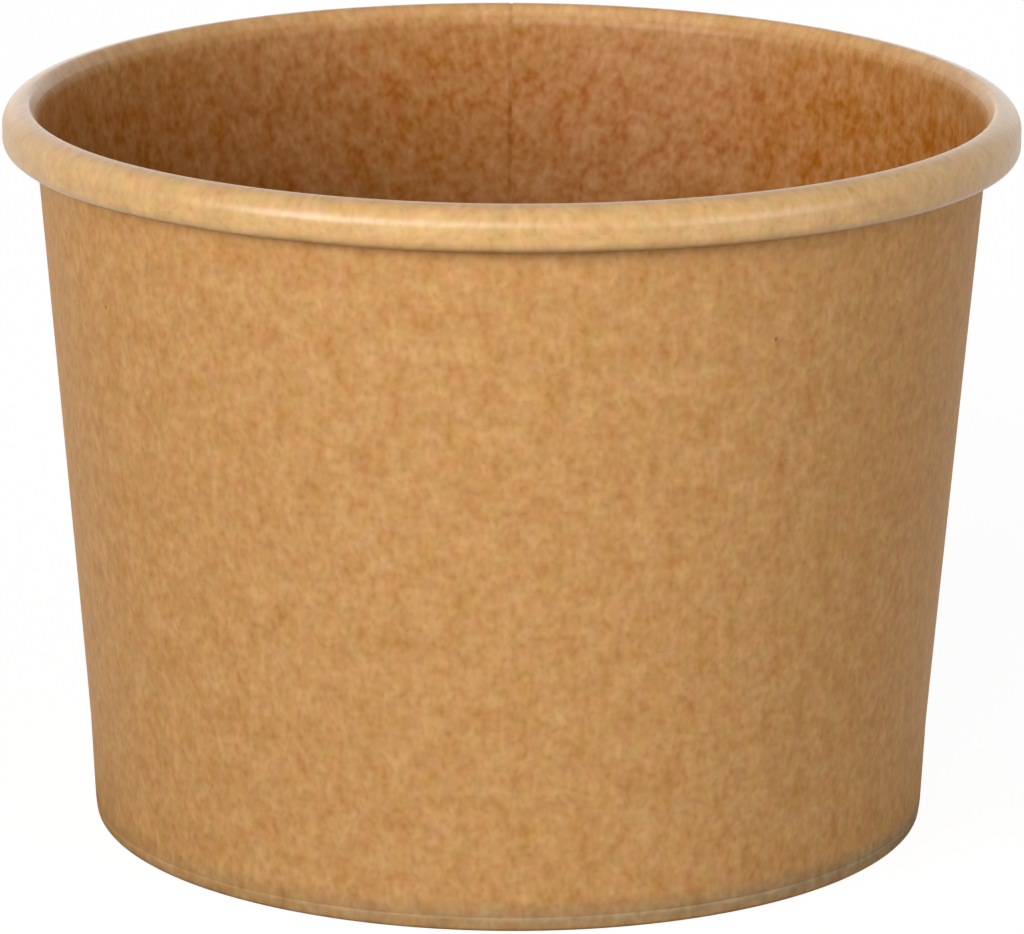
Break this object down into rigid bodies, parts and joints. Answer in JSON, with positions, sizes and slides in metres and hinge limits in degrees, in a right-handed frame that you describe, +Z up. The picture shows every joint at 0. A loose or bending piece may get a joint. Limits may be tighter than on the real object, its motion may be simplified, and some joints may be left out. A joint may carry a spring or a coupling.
{
  "type": "paper soup cup",
  "caption": "Tapered round cup of coated kraft board with a rolled rim, a glued back lap and a base recessed in a folded foot, for soup and other hot or cold food.",
  "frame": {"origin": "centre of the circle on which the foot stands, at the level of the table", "axes": "+Z up along the cup's axis towards the mouth, +Y towards the glued lap at the back, +X towards the outer ply's cut edge"},
  "size_m": [0.09, 0.09, 0.0653],
  "materials": {
    "wall_board": "satin",
    "base_board": "satin"
  },
  "bodies": {
    "root": {"side_wall": "wall_board", "base_disc": "base_board"}
  },
  "joints": []
}
